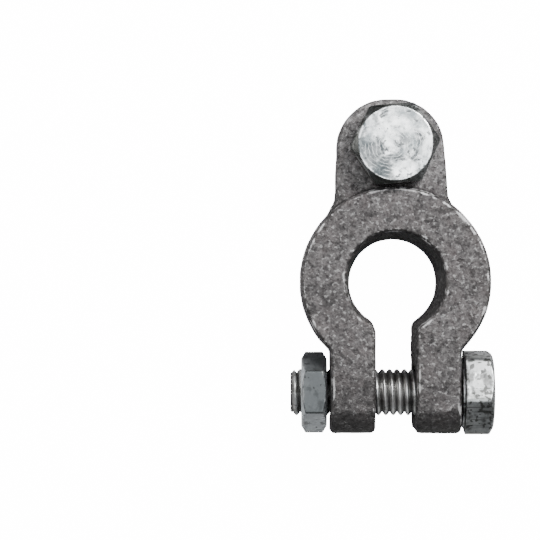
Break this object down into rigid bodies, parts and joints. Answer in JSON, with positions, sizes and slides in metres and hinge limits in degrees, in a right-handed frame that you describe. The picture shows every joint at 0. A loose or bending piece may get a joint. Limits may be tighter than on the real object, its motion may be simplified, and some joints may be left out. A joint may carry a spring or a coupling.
{
  "type": "battery terminal clamp",
  "caption": "Cast split-ring clamp for a tapered battery post, with a clamp bolt and nut through two ears and a cable bolt and nut in its lug.",
  "frame": {"origin": "on the axis of the tapered post bore, at the back face of the ring, which is the face the clamp lies on", "axes": "+Z along the bore axis towards its wide mouth, +Y towards the cable lug, +X towards the head of the clamp bolt"},
  "size_m": [0.0339, 0.056, 0.0187],
  "materials": {
    "cast_lead": "as cast lead alloy, rough and mottled",
    "zinc_bolt": "zinc-plated, worn",
    "bright_bolt": "bright zinc plating, mottled",
    "zinc_nut": "dull zinc plating"
  },
  "bodies": {
    "casting": {"clamp_casting": "cast_lead"},
    "clamp_bolt": {"clamp_bolt": "zinc_bolt"},
    "clamp_nut": {"clamp_nut": "zinc_nut"},
    "cable_bolt": {"cable_bolt": "bright_bolt"},
    "cable_nut": {"cable_nut": "zinc_nut"}
  },
  "joints": [
    {"name": "clamp_bolt_turn", "type": "hinge", "parent": "casting", "child": "clamp_bolt", "pos_m": [0, -0.0185, 0.008], "axis": [1, 0, 0], "range_deg": [-95, 1382]},
    {"name": "clamp_nut_travel", "type": "slide", "parent": "casting", "child": "clamp_nut", "axis": [-1, 0, 0], "range_m": [-0.00034, 0.0048]},
    {"name": "cable_bolt_play", "type": "hinge", "parent": "casting", "child": "cable_bolt", "pos_m": [-0.0002, 0.0226, 0.008], "axis": [0, 0, 1], "range_deg": [-15, 6]},
    {"name": "cable_nut_travel", "type": "slide", "parent": "cable_bolt", "child": "cable_nut", "axis": [0, 0, -1], "range_m": [-0.00013, 0.0034]}
  ],
  "couplings": [
    {"joint": "clamp_nut_travel", "follows": "clamp_bolt_turn", "m_per_rad": 0.00019894}
  ]
}
